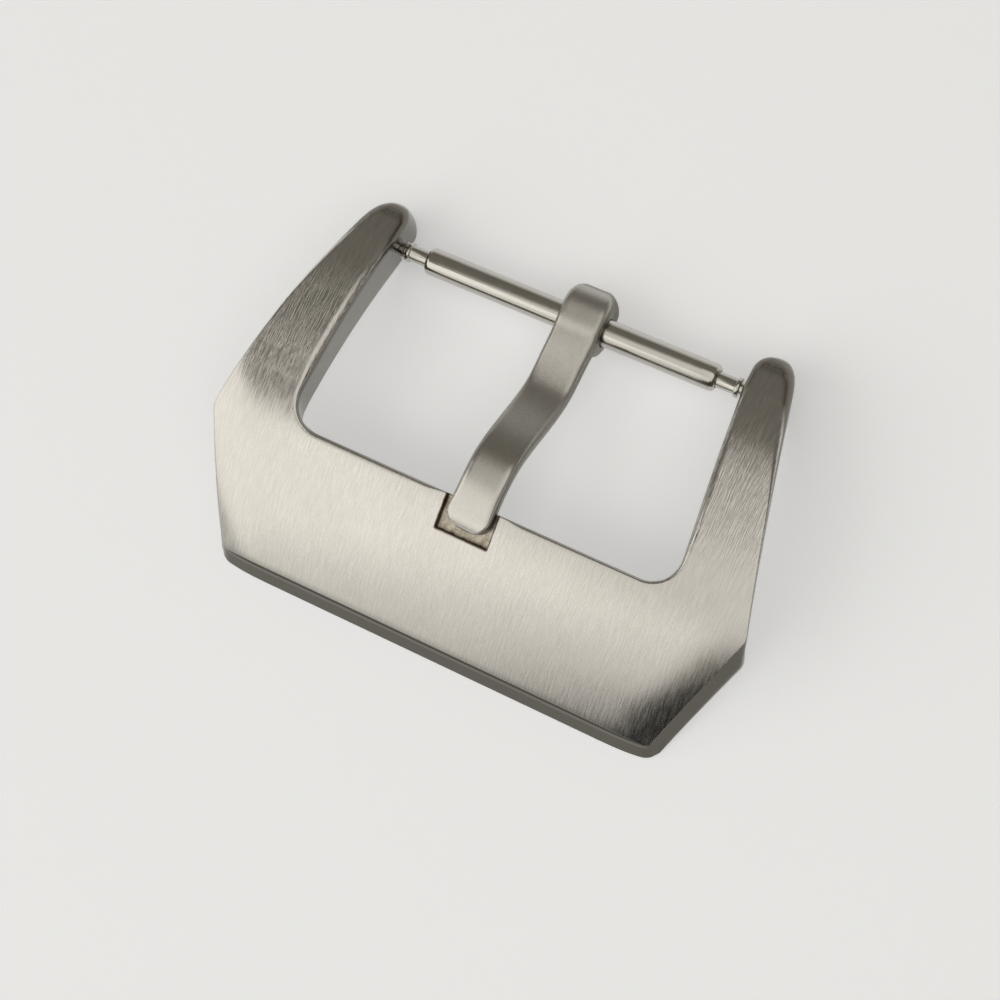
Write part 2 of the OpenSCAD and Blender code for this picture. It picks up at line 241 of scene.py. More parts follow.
# The straight front, with two places close together at each side wall of the seat.
front_x = np.sort(np.r_[np.linspace(0, BESIDE, FRONT_ROWS)[:-1], SEAT_HALF - SLIP, SEAT_HALF + SLIP])
front_in = np.stack([front_x, np.full(len(front_x), WINDOW_Y)], 1)
front_out = np.stack([front_x, np.full(len(front_x), FRONT_Y)], 1)
front_band = front_out - [0, FRONT_LEAN]


def both_sides(*parts):
    """An outline from the left lug to the right one: its right half, in parts, and that half's mirror image."""
    half = np.vstack(parts)
    return np.vstack([half[:0:-1] * [-1, 1], half])


plan_in = both_sides(front_in, side_in, tip_in)
plan_foot = both_sides(front_in, side_foot, tip_foot)
plan_out = both_sides(front_out, side_out, tip_out)
plan_band = both_sides(front_band, side_band, tip_band)


def outward(line, side):
    """Unit normals of a plan line, at right angles to its own slope; side 1 or -1 says to which side."""
    d = unit(np.gradient(line, axis=0))
    return side * np.stack([d[:, 1], -d[:, 0]], 1)


# The frame's four long edges, row by row: at the top and at the foot, each inside and outside.
ay = plan_out[:, 1]
full_band = np.interp(ay, [FRONT_Y, FRONT_Y + 0.5], [1.75, BAND])
n_in = outward(plan_in, -1)
in_y = plan_in[:, 1]
in_draft = IN_DRAFT * ease((in_y - WINDOW_Y) / 1.5) * ease((BAR_Y + 3.2 - in_y) / 4)

top_in = np.column_stack([plan_in, top_height(plan_in[:, 0], plan_in[:, 1])])
top_out = np.column_stack([plan_out, top_height(plan_out[:, 0], plan_out[:, 1])])
low_out = under_height(plan_band[:, 1])
depth_out = top_out[:, 2] - low_out
band = np.minimum(full_band, depth_out)
arm = ease((ay - OUTER_Y) / 1.0)
below = np.maximum(depth_out - band, 0) * ARM_DRAFT * arm
band_low = np.column_stack([plan_out + (plan_band - plan_out) * (band / full_band)[:, None], top_out[:, 2] - band])
inwards = unit(plan_in - plan_out)
bot_out = np.column_stack([band_low[:, :2] + inwards * below[:, None], low_out])
low_in = under_height(plan_foot[:, 1])
depth_in = top_in[:, 2] - low_in
bot_in = np.column_stack([plan_foot - n_in * (in_draft * depth_in)[:, None], low_in])

# The radius of each edge, never more than there is room for.
width = np.linalg.norm(plan_out - plan_in, axis=1)
room = 0.42 * np.minimum(width, np.minimum(depth_in, depth_out))
beside_seat = ease((np.abs(plan_in[:, 0]) - SEAT_HALF - 0.1) / 1.5)
r_top_in = np.minimum(0.06 + 0.14 * beside_seat + (EDGE_IN - 0.20) * ease((in_y - WINDOW_Y - 0.3) / 4.5), room)
r_top_out = np.minimum(np.interp(ay, [OUTER_Y - 0.5, OUTER_Y + 1, BAR_Y - 6, BAR_Y + 1.5],
                                 [EDGE_FRONT, EDGE_OUT, EDGE_OUT, EDGE_LUG]), room)
r_foot = np.minimum(EDGE_FOOT, 0.8 * room)
r_foot_out = np.minimum(r_foot, 0.06 + 0.4 * np.abs(depth_out - full_band))


def toward(a, b, far, height):
    """The points a set distance in plan from a towards b, at the height that a surface has there."""
    plan = a[:, :2] + unit(b[:, :2] - a[:, :2]) * np.minimum(far, 0.45 * width)[:, None]
    return np.column_stack([plan, height(plan[:, 0], plan[:, 1])])


EDGE_POINTS = 9
ON_TOP, ON_FOOT = 0.5, 0.35        # how far from an edge its rounding is aimed
a_in = toward(top_in, top_out, ON_TOP, top_height)
a_out = toward(top_out, top_in, ON_TOP, top_height)
b_in = toward(bot_in, bot_out, ON_FOOT, lambda x, y: under_height(y))
b_out = toward(bot_out, bot_in, ON_FOOT, lambda x, y: under_height(y))
above_foot = np.where((depth_out > full_band + 0.05)[:, None], band_low, top_out)
arc_top_in = corner_arc(bot_in, top_in, a_in, r_top_in, EDGE_POINTS)
arc_top_out = corner_arc(a_out, top_out, band_low, r_top_out, EDGE_POINTS)
arc_bot_out = corner_arc(above_foot, bot_out, b_out, r_foot_out, EDGE_POINTS)
arc_bot_in = corner_arc(b_in, bot_in, top_in, r_foot, EDGE_POINTS)

# Places across the top: two runs that meet at the seat's front wall, and even ones away from the seat.
APART = 0.0004
share = SEAT_LEN / (WINDOW_Y - FRONT_Y)
eps = SLIP / (WINDOW_Y - FRONT_Y)
runs = np.r_[np.linspace(0, share - eps, 14)[1:], np.linspace(share + eps, 1, 44)[:-1]]
s0 = np.linalg.norm(arc_top_in[:, -1, :2] - plan_in, axis=1) / np.maximum(width, 1e-9)
s1 = 1 - np.linalg.norm(arc_top_out[:, 0, :2] - plan_out, axis=1) / np.maximum(width, 1e-9)
s = np.clip(runs[None], (s0 + 10 * APART)[:, None], (s1 - 10 * APART)[:, None])
even = s0[:, None] + (s1 - s0)[:, None] * (np.arange(1, len(runs) + 1) / (len(runs) + 1))[None]
far_from_seat = ease((np.abs(plan_in[:, 0]) - 3.0) / 3.0)[:, None]
s = np.sort(s * (1 - far_from_seat) + even * far_from_seat, axis=1)
s = np.minimum(np.maximum(s, (s0 + APART)[:, None]), (s1 - APART)[:, None])
tx = plan_in[:, None, 0] * (1 - s) + plan_out[:, None, 0] * s
ty = plan_in[:, None, 1] * (1 - s) + plan_out[:, None, 1] * s
top_face = np.stack([tx, ty, top_height(tx, ty)], -1)

# The outer wall: the leaning band, then the drafted part under it down to the foot.
TINY = 1e-6
share_down = np.linspace(0, 1, 14)[None, 1:-1]
wz = arc_top_out[:, -1, 2:] * (1 - share_down) + arc_bot_out[:, 0, 2:] * share_down
drop = np.clip(top_out[:, None, 2] - wz, 0, None)
upper_part = smooth_min(drop, np.broadcast_to(band[:, None], drop.shape), 0.2)
upper_part = np.clip(upper_part / np.maximum(band, TINY)[:, None], 0, 1)
lower_part = np.clip((drop - band[:, None]) / np.maximum(depth_out - band, TINY)[:, None], 0, 1)
lower_part = np.where((depth_out > band + 1e-4)[:, None], lower_part, 0)
plan_wall = (plan_out[:, None] + (band_low[:, None, :2] - plan_out[:, None]) * upper_part[..., None]
             + (bot_out[:, None, :2] - band_low[:, None, :2]) * lower_part[..., None])
outer_wall = np.concatenate([plan_wall, wz[..., None]], -1)

# The underside, and the straight part of the inner wall.
share_in = np.linspace(0, 1, 22)[None, 1:-1, None]
under = arc_bot_out[:, -1][:, None] * (1 - share_in) + arc_bot_in[:, 0][:, None] * share_in
under[..., 2] = under_height(under[..., 1])
share_up = np.linspace(0, 1, 10)[None, 1:-1, None]
inner_wall = arc_bot_in[:, -1][:, None] * (1 - share_up) + arc_top_in[:, 0][:, None] * share_up

frame_grid = np.concatenate([arc_top_in, top_face, arc_top_out, outer_wall,
                             arc_bot_out, under, arc_bot_in, inner_wall], 1)
rows, cols = frame_grid.shape[:2]
n_top = EDGE_POINTS + top_face.shape[1] + EDGE_POINTS
n_wall = outer_wall.shape[1] + EDGE_POINTS
frame_faces = quads(rows, cols, False, True)
flat = frame_grid.reshape(-1, 3)
lug_ends = [np.arange(cols)[::-1], np.arange((rows - 1) * cols, rows * cols)]

# The grain runs along Y on top and along the outline on the walls. The last points of a rounded edge go
# with the wall under it.
col_of = np.tile(np.arange(cols), rows - 1)
travel = np.r_[0, np.cumsum(np.linalg.norm(np.diff(plan_out, axis=0), axis=1))]
along_wall = np.repeat(travel, cols)
by_top = np.stack([flat[:, 0], flat[:, 1]], 1)
by_wall = np.stack([flat[:, 2], along_wall], 1)
is_top = (col_of < n_top - 3) | ((col_of >= n_top + n_wall) & (col_of < cols - inner_wall.shape[1] - 5))
grain_uv = np.where(is_top[:, None, None], by_top[frame_faces], by_wall[frame_faces]).reshape(-1, 2)
grain_uv = np.vstack([grain_uv, by_top[lug_ends[0]], by_top[lug_ends[1]]])

# How steep the surface is, for the walls' painted shade: 0 on top, 1 on a wall. The lugs take the painted shade
# sooner.
across_rows = np.gradient(frame_grid, axis=0)
along_ring = np.roll(frame_grid, -1, axis=1) - np.roll(frame_grid, 1, axis=1)
upright = np.abs(unit(np.cross(across_rows, along_ring))[..., 2])
starts = np.interp(frame_grid[..., 1], [WINDOW_Y - 1, WINDOW_Y, BAR_Y - 2, BAR_Y], [0.74, 0.60, 0.60, 0.98])
steepness = ease((starts - upright) / 0.2)
all_faces = frame_faces.tolist() + [e.tolist() for e in lug_ends]
buckle_frame = make_piece("buckle_frame", flat, all_faces, grain_uv, side=steepness.ravel())


def drilled(piece, cutter):
    """The piece with the cutter's shape taken out of it; the cutter is removed."""
    cut = piece.modifiers.new("drill", "BOOLEAN")
    cut.object, cut.solver = cutter, "EXACT"
    mesh = bpy.data.meshes.new_from_object(piece.evaluated_get(bpy.context.evaluated_depsgraph_get()))
    piece.modifiers.clear()
    piece.data = mesh
    bpy.data.objects.remove(cutter)


HOLE_R, HOLE_DEEP, HOLE_POINTS = 0.5, 1.3, 48
a = np.linspace(0, 2 * math.pi, HOLE_POINTS, endpoint=False)
ring = np.stack([0 * a, BAR_Y + HOLE_R * np.cos(a), BAR_Z + HOLE_R * np.sin(a)], 1)
cap = np.arange(HOLE_POINTS)
drill_faces = quads(2, HOLE_POINTS, False, True).tolist() + [cap.tolist(), (cap + HOLE_POINTS).tolist()]
for side in (-1, 1):
    ends = [ring + [side * (LUG_IN - 0.5), 0, 0], ring + [side * (LUG_IN + HOLE_DEEP), 0, 0]]
    drilled(buckle_frame, make_piece("drill", np.vstack(ends), drill_faces))


class Wire:
    """A shader socket that takes part in Python sums; each operation adds a Math node."""

    def __init__(self, tree, socket):
        self.tree, self.socket = tree, socket

    def node(self, kind, settings=None, out=0, **inputs):
        """Any node: its type, its settings, and the values or links of its sockets (names, or in0, in1, ...)."""
        n = self.tree.nodes.new(kind)
        for key, value in (settings or {}).items():
            setattr(n, key, value)
        for key, value in inputs.items():
            numbered = key[:2] == "in" and key[2:].isdigit()
            slot = n.inputs[int(key[2:]) if numbered else key.replace("_", " ")]
            if isinstance(value, Wire):
                self.tree.links.new(value.socket, slot)
            else:
                slot.default_value = value
        return Wire(self.tree, n.outputs[out])

    def math(self, operation, a, b=None):
        """A Math node on one or two values or sockets."""
        inputs = {"in0": a} if b is None else {"in0": a, "in1": b}
        return self.node("ShaderNodeMath", {"operation": operation}, **inputs)

    def __add__(self, o): return self.math("ADD", self, o)
    def __radd__(self, o): return self.math("ADD", o, self)
    def __sub__(self, o): return self.math("SUBTRACT", self, o)
    def __rsub__(self, o): return self.math("SUBTRACT", o, self)
    def __mul__(self, o): return self.math("MULTIPLY", self, o)
    def __rmul__(self, o): return self.math("MULTIPLY", o, self)
    def abs(self): return self.math("ABSOLUTE", self)
    def least(self, o): return self.math("MINIMUM", self, o)

    def step(self, low, high):
        """A smooth step of this value, from 0 at low to 1 at high."""
        return self.node("ShaderNodeMapRange", {"interpolation_type": "SMOOTHSTEP"}, in0=self, in1=low, in2=high)

    def band(self, full, none):
        """1 where this value is within full of 0, and down to 0 where it is none away from it."""
        return 1 - self.abs().step(full, none)

    def tint(self, low, high):
        """A colour that goes from low to high as this value goes from 0 to 1; each is a colour or a link."""
        low, high = (c if isinstance(c, Wire) else (*c, 1) for c in (low, high))
        return self.node("ShaderNodeMix", {"data_type": "RGBA"}, out=2, in0=self, in6=low, in7=high)

    def bump(self, strength):
        """The normal of a surface whose relief follows this value, 0.01 mm high for 1."""
        return self.node("ShaderNodeBump", Strength=strength, Distance=0.00001, Height=self)

    def parts(self):
        """The three numbers of a place, in millimetres."""
        out = self.node("ShaderNodeSeparateXYZ", in0=self).socket.node.outputs
        return [Wire(self.tree, out[k]) * (1 / MM) for k in range(3)]

    def noise(self, scale, detail):
        """Noise about this place, with so many cells to one unit of it."""
        return self.node("ShaderNodeTexNoise", Vector=self, Scale=scale, Detail=detail)


def new_finish(name, **constants):
    """A material with one Principled shader, and a Wire to start its sums from."""
    mat = bpy.data.materials.new(name)
    mat.use_nodes = True
    tree = mat.node_tree
    shader = tree.nodes["Principled BSDF"]
    for key, value in constants.items():
        shader.inputs[key.replace("_", " ")].default_value = value
    return mat, Wire(tree, None), shader


def feed(wire, shader, socket):
    """Links a value to one of the shader's sockets."""
    wire.tree.links.new(wire.socket, shader.inputs[socket])


def streaks(w, uv, across, length):
    """Noise drawn out along the brushing: so many lines per millimetre across, each about length long."""
    scaled = w.node("ShaderNodeVectorMath", {"operation": "MULTIPLY"}, in0=uv, in1=(across, 1 / length, 1))
    return w.node("ShaderNodeTexNoise", {"noise_dimensions": "2D"},
                  Vector=scaled, Scale=1.0, Detail=2.0, Roughness=0.6)


BLUR = 0.05


def over_seat(px, py, past, past_open):
    """1 over the seat, for past beyond its walls and for past_open beyond its open end, and 0 elsewhere."""
    across = (SEAT_HALF + past - px.abs()).step(0.0, BLUR)
    return across * (py - (WINDOW_Y - SEAT_LEN - past)).step(0.0, BLUR) * (WINDOW_Y + past_open - py).step(0.0, BLUR)


brushed, w, shader = new_finish("brushed_steel", Metallic=1.0, IOR=2.5)
uv = w.node("ShaderNodeUVMap", {"uv_map": "grain"})
fine = streaks(w, uv, 13.0, 1.5).step(0.30, 0.70)
coarse = streaks(w, uv, 6.5, 1.1).step(0.30, 0.70)
place = w.node("ShaderNodeTexCoord", out=3)
patch, spots, grit = place.noise(260.0, 1.0), place.noise(2600.0, 2.0), place.noise(7000.0, 2.0)
px, py, pz = place.parts()

# The top is bright, and a darker rim over the front wall is painted shade.
bright = (fine * 0.6 + patch * 0.4).tint((0.55, 0.53, 0.495), (0.68, 0.66, 0.625))
front_rim_shade = 0.42 - 0.42 * (py - FRONT_Y).step(0.0, 0.45)
bright = front_rim_shade.tint(bright, (0.25, 0.233, 0.20))

# The walls are painted darker, a painted shade for the dark that they mirror, darkest at the front. The front one
# has a black line under its upper edge, a painted dark reflection, and a lighter band under the line, a painted
# highlight.
LINE_AT, PALE_AT = 0.15, 0.42
on_side = w.node("ShaderNodeSeparateXYZ", in0=w.node("ShaderNodeUVMap", {"uv_map": "side"}))
on_front = (FRONT_Y + 0.02 - py).step(0.0, 0.04) * (FRONT_HALF + 0.3 - px.abs()).step(0.0, 0.8)
below_edge = FRONT_TOP - pz
# A painted highlight: a lighter band under the front wall's upper edge.
painted_highlight_band = 0.8 * on_front * (below_edge - PALE_AT).band(0.05, 0.16)
# A painted dark reflection: a nearly black line under the front wall's upper edge.
painted_dark_line = 0.85 * on_front * (below_edge - LINE_AT).band(0.04, 0.13)
painted_wall_shade = py.step(-5.0, -2.0).tint((0.098, 0.090, 0.070), (0.185, 0.172, 0.146))
painted_wall_shade = painted_highlight_band.tint(painted_wall_shade, (0.19, 0.176, 0.148))

# The seat is speckled, and a dark brown broken line lies along its walls.
above_floor = (pz - (SEAT_FLOOR + (py - WINDOW_Y) * FLOOR_SLOPE)).step(-0.12, -0.06)
in_seat = above_floor * over_seat(px, py, 0.03, 0.1)
from_wall = (SEAT_HALF - px.abs()).least(py - (WINDOW_Y - SEAT_LEN))
broken_line = 1 - (from_wall.abs() + 0.16 * (spots - 0.5)).step(0.03, 0.12)
dark_seat_edge = broken_line * over_seat(px, py, 0.15, 0.05) * above_floor
speckled = (0.5 * grit + 0.5 * spots).step(0.35, 0.65).tint((0.40, 0.35, 0.27), (0.66, 0.61, 0.52))

# Steep places take the painted wall shade, and the seat its speckle.
colour = in_seat.tint(on_side.tint(bright, painted_wall_shade), speckled)
colour = (0.8 * dark_seat_edge).tint(colour, (0.09, 0.05, 0.025))
feed(painted_dark_line.tint(colour, (0.012, 0.010, 0.008)), shader, "Base Color")
rough = 0.19 + 0.06 * fine + 0.05 * coarse - 0.055 * py.step(-5.0, 0.0)
feed(rough + in_seat * 0.25 + dark_seat_edge * 0.2, shader, "Roughness")
on_arm = py.step(-2.0, 3.0)
lines = fine * (0.11 + on_arm) + coarse * (0.17 + 0.35 * on_arm)
relief = lines * (1 - 0.7 * on_side) * (1 - in_seat) + grit * in_seat * 1.6
feed(relief.bump(0.5), shader, "Normal")
buckle_frame.data.materials.append(brushed)
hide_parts("frame")
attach(buckle_frame, "frame")

# The spring bar: a drawn and polished steel tube whose ends are rolled in over two
# turned tips. Each tip is a piston, a shaft, a flange for a tool, and a pivot.
TUBE_HALF, TUBE_R, BORE_R, LIP_R = 10.15, 0.9, 0.7, 0.575


def turned(name, profile, segments=96):
    """A piece turned about the bar: a closed profile of (x, radius) carried round the bar's axis."""
    profile = np.asarray(profile, float)
    a = np.linspace(0, 2 * math.pi, segments, endpoint=False)[:, None]
    x = np.broadcast_to(profile[None, :, 0], (segments, len(profile)))
    co = np.stack([x, BAR_Y + profile[None, :, 1] * np.cos(a), BAR_Z + profile[None, :, 1] * np.sin(a)], -1)
    return make_piece(name, co.reshape(-1, 3), quads(segments, len(profile), True, True), crease=40.0)


def bend(centre, r, start, stop, n=8):
    """Points of an arc in a profile, by its centre, radius and two angles in degrees."""
    t = np.radians(np.linspace(start, stop, n))
    return np.stack([centre[0] + r * np.cos(t), centre[1] + r * np.sin(t)], 1)


LIP_BACK, LIP_FRONT = TUBE_HALF - 0.45, TUBE_HALF - 0.02
ROLL_R, ROLL_AT, STRAIGHT = 0.32, TUBE_HALF - 0.32, TUBE_HALF - 1.2
tube_profile = np.vstack([
    [[-LIP_BACK, BORE_R], [-LIP_BACK, LIP_R], [-LIP_FRONT, LIP_R]],
    bend((-ROLL_AT, TUBE_R - ROLL_R), ROLL_R, 175, 90),
    [[-STRAIGHT, TUBE_R], [0, TUBE_R], [STRAIGHT, TUBE_R]],
    bend((ROLL_AT, TUBE_R - ROLL_R), ROLL_R, 90, 5),
    [[LIP_FRONT, LIP_R], [LIP_BACK, LIP_R], [LIP_BACK, BORE_R], [0, BORE_R]]])
bar_tube = turned("bar_tube", tube_profile)

polished, w, shader = new_finish("polished_steel", Metallic=1.0)
place = w.node("ShaderNodeTexCoord", out=3)
drawn = w.node("ShaderNodeVectorMath", {"operation": "MULTIPLY"}, in0=place, in1=(260.0, 9000.0, 9000.0))
lines, smudge = drawn.noise(1.0, 2.0), place.noise(900.0, 3.0)
feed((0.5 * lines + 0.5 * smudge).tint((0.50, 0.48, 0.44), (0.68, 0.66, 0.62)), shader, "Base Color")
feed(0.10 + 0.08 * smudge + 0.05 * lines, shader, "Roughness")
feed(lines.bump(0.25), shader, "Normal")
bar_tube.data.materials.append(polished)
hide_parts("spring_bar_tube")
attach(bar_tube, "bar")

PIVOT_END, FLANGE_END, FLANGE_R, SHAFT_R, PIVOT_R = 13.1, 11.65, 0.66, 0.525, 0.45
PISTON_END, PISTON_START, PISTON_R, COLLAR_R = 9.68, 6.68, 0.65, 0.58
CHAMFER, FLANGE_ROUND, PIVOT_ROUND, NECK_R = 0.05, 0.08, 0.12, PIVOT_R - 0.03
tip_profile = np.vstack([
    [[PISTON_START, 0.0], [PISTON_START, PISTON_R - CHAMFER], [PISTON_START + CHAMFER, PISTON_R],
     [PISTON_END, PISTON_R], [PISTON_END, SHAFT_R],
     [FLANGE_END - 0.34, SHAFT_R], [FLANGE_END - 0.30, SHAFT_R + 0.01]],
    bend((FLANGE_END - 0.22, FLANGE_R - FLANGE_ROUND), FLANGE_ROUND, 180, 90, 5),
    bend((FLANGE_END - FLANGE_ROUND, FLANGE_R - FLANGE_ROUND), FLANGE_ROUND, 90, 0, 5),
    [[FLANGE_END, NECK_R], [LUG_IN - 0.20, NECK_R], [LUG_IN - 0.18, COLLAR_R - 0.03],
     [LUG_IN - 0.15, COLLAR_R], [LUG_IN - 0.06, COLLAR_R], [LUG_IN - 0.03, PIVOT_R]],
    bend((PIVOT_END - PIVOT_ROUND, PIVOT_R - PIVOT_ROUND), PIVOT_ROUND, 90, 0, 5),
    [[PIVOT_END, 0.0]]])
for side, body in ((-1, "tip_left"), (1, "tip_right")):
    tip = turned("bar_" + body, tip_profile * [side, 1])
    tip.data.materials.append(polished)
    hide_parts("spring_bar_" + body)
    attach(tip, body)

# The coil spring inside the tube: drawn spring wire, wound open, its end turns resting on the two pistons.
WIRE_R, COIL_R, TURNS, COIL_HALF, PUSH = 0.11, 0.49, 15, 6.66, 1.15
ROUND_POINTS = 12                  # points round the wire


def coil(name, side):
    """Half of the spring: a wire carried along a helix from the bar's middle to one end. At a turn count t its
    centre is at x = side * t * pitch, on a circle of radius COIL_R about the bar."""
    t = np.linspace(0, TURNS / 2, 20 * TURNS + 1)
    phase = 2 * math.pi * t * side
    x = side * t / t[-1] * (COIL_HALF - WIRE_R)
    line = np.stack([x, BAR_Y + COIL_R * np.cos(phase), BAR_Z + COIL_R * np.sin(phase)], 1)
    outside = np.stack([0 * t, np.cos(phase), np.sin(phase)], 1)
    other = np.cross(unit(np.gradient(line, axis=0)), outside)
    ring = np.linspace(0, 2 * math.pi, ROUND_POINTS, endpoint=False)[None, :, None]
    wire = line[:, None] + WIRE_R * (outside[:, None] * np.cos(ring) + other[:, None] * np.sin(ring))
    cap = np.arange(ROUND_POINTS)
    caps = [cap[::-1].tolist(), (cap + ROUND_POINTS * (len(t) - 1)).tolist()]
    return make_piece(name, wire.reshape(-1, 3), quads(len(t), ROUND_POINTS, False, True).tolist() + caps)


spring_steel, w, shader = new_finish("spring_wire", Metallic=1.0)
mottle = w.node("ShaderNodeTexCoord", out=3).noise(3000.0, 2.0)
feed(mottle.tint((0.42, 0.41, 0.40), (0.56, 0.55, 0.54)), shader, "Base Color")
feed(0.25 + 0.15 * mottle, shader, "Roughness")
for side, joint in ((-1, "tip_left_push"), (1, "tip_right_push")):
    half_spring = coil("bar_spring_left" if side < 0 else "bar_spring_right", side)
    half_spring.data.materials.append(spring_steel)
    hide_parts("spring_bar_spring")
    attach(half_spring, "bar")
    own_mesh(half_spring)

# The tongue: a strip of steel bent in a wave, cast in one with the eye that turns on
# the bar. Tumbling has softened its edges and left it satin.
TONGUE_X, TONGUE_YAW = 1.0, math.radians(3.4)
TONGUE_HALF, TIP_HALF, THICK, EYE_R, HEEL, NOSE = 1.5, 1.45, 1.15, 1.75, 0.65, 0.9
TONGUE_LEN, LEAVE, LOW, LOW_AT, RISE_END, LEAD = 14.8, 1.05, 0.5, 4.2, 10.8, 1.4
BORE, TIP_ROUND, HEEL_AT, HEEL_CUT = 0.95, 1.0, 1.4, 0.5
WINDOW_LEN = BAR_Y - WINDOW_Y
seated = SEAT_FLOOR + (THICK / 2 + 0.03) * math.sqrt(1 + FLOOR_SLOPE ** 2) + FLOOR_SLOPE * LEAD


def middle(d):
    """The strip's middle line: down from the eye to its lowest place, up to the seat, and level with it."""
    rise = ease((d - LOW_AT) / (RISE_END - LOW_AT))
    past = d - WINDOW_LEN + LEAD
    return (BAR_Z + LEAVE - (LEAVE - LOW) * ease(d / LOW_AT) + (seated - BAR_Z - LOW) * rise
            - FLOOR_SLOPE * 0.5 * (past + np.hypot(past, 0.5)))


strip_len = TONGUE_LEN / math.cos(TONGUE_YAW)
d = np.linspace(0, strip_len, 1200)
tilt = np.arctan(np.gradient(middle(d), d))
thick = THICK * np.sqrt(1 - 0.86 * np.clip(1 - (strip_len - d) / NOSE, 0, 1) ** 2.5)
upper = np.stack([d - thick / 2 * np.sin(tilt), middle(d) + thick / 2 * np.cos(tilt)], 1)
lower = np.stack([d + thick / 2 * np.sin(tilt), middle(d) - thick / 2 * np.cos(tilt)], 1)

# The side outline in (distance from the bar towards the tip, height). Both faces of the strip end where they
# meet the eye's circle, and the eye's own part goes round over the heel.
up_from = np.argmax((upper[:, 0] > 0.3) & (np.hypot(upper[:, 0], upper[:, 1] - BAR_Z) > EYE_R))
low_from = np.argmax((lower[:, 0] > 0.3) & (np.hypot(lower[:, 0], lower[:, 1] - BAR_Z) > EYE_R))
a_up = math.atan2(upper[up_from, 1] - BAR_Z, upper[up_from, 0])
a_low = math.atan2(lower[low_from, 1] - BAR_Z, lower[low_from, 0])
eye_front = bend((0, BAR_Z), EYE_R, math.degrees(a_up), 90, 60)[1:]
heel_back = bend((-HEEL, BAR_Z), EYE_R, 90, 270, 200)
eye_under = bend((0, BAR_Z), EYE_R, 270, 360 + math.degrees(a_low), 140)[:-1]


def spaced(line, step):
    """The same line with points a set step apart."""
    run = np.r_[0, np.cumsum(np.linalg.norm(np.diff(line, axis=0), axis=1))]
    at = np.linspace(0, run[-1], max(3, int(round(run[-1] / step))))
    return np.stack([np.interp(at, run, line[:, k]) for k in (0, 1)], 1)


STEP = 0.06
outline = np.vstack([upper[up_from:][::-1], eye_front, heel_back, eye_under, lower[low_from:], upper[-1:]])
outline = spaced(outline, STEP)[:-1]

# The outline is evened out with weights that fall off like a bell, and its normals turned inwards.
k = np.arange(-9, 10)
soft = np.exp(-0.5 * (k * STEP / 0.17) ** 2)
soft /= soft.sum()
outline = sum(c * np.roll(outline, n, axis=0) for c, n in zip(soft, k))
slope_out = unit(np.roll(outline, -1, axis=0) - np.roll(outline, 1, axis=0))
normal_in = np.stack([-slope_out[:, 1], slope_out[:, 0]], 1)
if (normal_in * (np.array([0, BAR_Z]) - outline))[np.argmin(outline[:, 0])].sum() < 0:
    normal_in = -normal_in

# Half the width narrows to the tip, in a round at its end, and in another one at the heel.
dd = outline[:, 0]
half_w = TONGUE_HALF + (TIP_HALF - TONGUE_HALF) * np.clip(dd / strip_len, 0, 1)
over = np.clip(dd - (strip_len - TIP_ROUND), 0, TIP_ROUND)
half_w = half_w - (TIP_ROUND - np.sqrt(TIP_ROUND ** 2 - over ** 2)) * 0.95
back = np.clip((-dd - HEEL_AT) / (EYE_R + HEEL - HEEL_AT), 0, 1)
half_w = half_w - HEEL_CUT * (1 - np.sqrt(1 - 0.98 * back ** 2))

# The skin: across each place of the outline a flat run between two rounded edges.
edge_r = np.minimum(0.18 + 0.22 * ease((strip_len - dd - 0.3) / 2.5), 0.42 * np.interp(dd, d, thick))[:, None]
psi = np.linspace(0, math.pi / 2, 8)
row_x = np.linspace(-1, 1, 15)[1:-1]
flat_half = half_w[:, None] - edge_r
skin_x = np.hstack([-flat_half - edge_r * np.sin(psi[::-1]), flat_half * row_x, flat_half + edge_r * np.sin(psi)])
skin_in = np.hstack([edge_r * (1 - np.cos(psi[::-1])), 0 * edge_r * row_x, edge_r * (1 - np.cos(psi))])
skin_dz = outline[:, None] + normal_in[:, None] * skin_in[..., None]


def placed(x, dz):
    """Points of the tongue in the buckle's frame, from the place x across it and dz, the distance from the
    bar and the height. The strip is turned in plan by its play about the bar, and the eye stays true."""
    turn = TONGUE_YAW * ease(dz[..., 0] / 3.0)
    px = TONGUE_X + x * np.cos(turn) - dz[..., 0] * np.sin(turn)
    py = BAR_Y - dz[..., 0] * np.cos(turn) - x * np.sin(turn)
    return np.stack([px, py, dz[..., 1]], -1)


n_out, n_across = skin_x.shape
skin_pts = placed(skin_x, skin_dz)
faces = quads(n_out, n_across, True, False).tolist()
n_bore = 72
bore_a = np.linspace(0, 2 * math.pi, n_bore, endpoint=False)
bore = np.stack([BORE * np.cos(bore_a), BAR_Z + BORE * np.sin(bore_a)], 1)
start = n_out * n_across
bore_ends = np.broadcast_to([[-TONGUE_HALF, TONGUE_HALF]], (n_bore, 2))
bore_pts = placed(bore_ends, np.broadcast_to(bore[:, None], (n_bore, 2, 2)))
faces += [f[::-1].tolist() for f in quads(n_bore, 2, True, False, start)]

